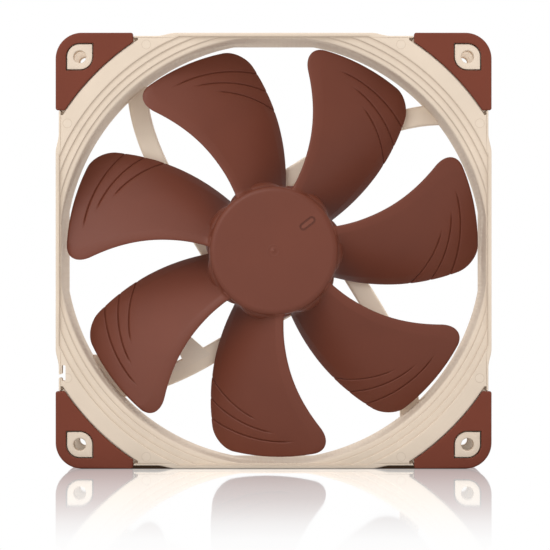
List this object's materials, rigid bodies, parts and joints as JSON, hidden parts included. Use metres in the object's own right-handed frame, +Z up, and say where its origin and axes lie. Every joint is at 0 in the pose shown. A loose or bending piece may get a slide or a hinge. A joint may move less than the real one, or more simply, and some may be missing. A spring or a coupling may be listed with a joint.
{
  "type": "case fan",
  "caption": "Square computer case fan whose bladed rotor turns in a stepped-inlet frame with soft corner pads, moving air from its open front face to its strutted rear face.",
  "frame": {"origin": "on the rotor's axis, at the centre of the fan's box: half its height, width and depth", "axes": "+X to the right and +Z up, seen from the intake side with the fan standing on its bottom edge; +Y along the rotor's axis from the intake face to the exhaust face"},
  "size_m": [0.14, 0.025, 0.14],
  "materials": {
    "frame": "satin moulded beige plastic",
    "pads": "soft matt brown silicone rubber",
    "impeller": "satin moulded brown plastic",
    "steel": "bare steel",
    "magnet": "matt dark ferrite",
    "brass": "turned brass",
    "bearing": "oil-filled sintered bronze",
    "insulator": "matt off-white plastic",
    "copper": "enamelled copper wire",
    "board": "green solder mask",
    "chip": "black moulded package",
    "ceramic": "matt ceramic",
    "label": "plain satin sticker without print",
    "seal": "matt black"
  },
  "bodies": {
    "casing": {"frame": "frame", "front_pad_top_right": "pads", "front_pad_top_left": "pads", "front_pad_bottom_left": "pads", "front_pad_bottom_right": "pads", "rear_pad_top_right": "pads", "rear_pad_top_left": "pads", "rear_pad_bottom_left": "pads", "rear_pad_bottom_right": "pads", "bearing_housing": "brass", "bearing_sleeve": "bearing", "seal_ring": "seal", "wear_disc": "insulator", "stabiliser_magnet": "magnet", "stator_core": "steel", "front_insulator": "insulator", "rear_insulator": "insulator", "coil_1": "copper", "coil_2": "copper", "coil_3": "copper", "coil_4": "copper", "circuit_board": "board", "driver_chip": "chip", "hall_sensor": "chip", "capacitor_1": "ceramic", "capacitor_2": "ceramic", "hub_label": "label"},
    "rotor": {"impeller": "impeller", "rotor_yoke": "steel", "rotor_magnet": "magnet", "shaft_boss": "brass", "shaft": "steel", "shaft_clip": "steel"}
  },
  "joints": [
    {"name": "rotor_spin", "type": "hinge", "parent": "casing", "child": "rotor", "pos_m": [0, 0, 0], "axis": [0, -1, 0], "continuous": true}
  ]
}
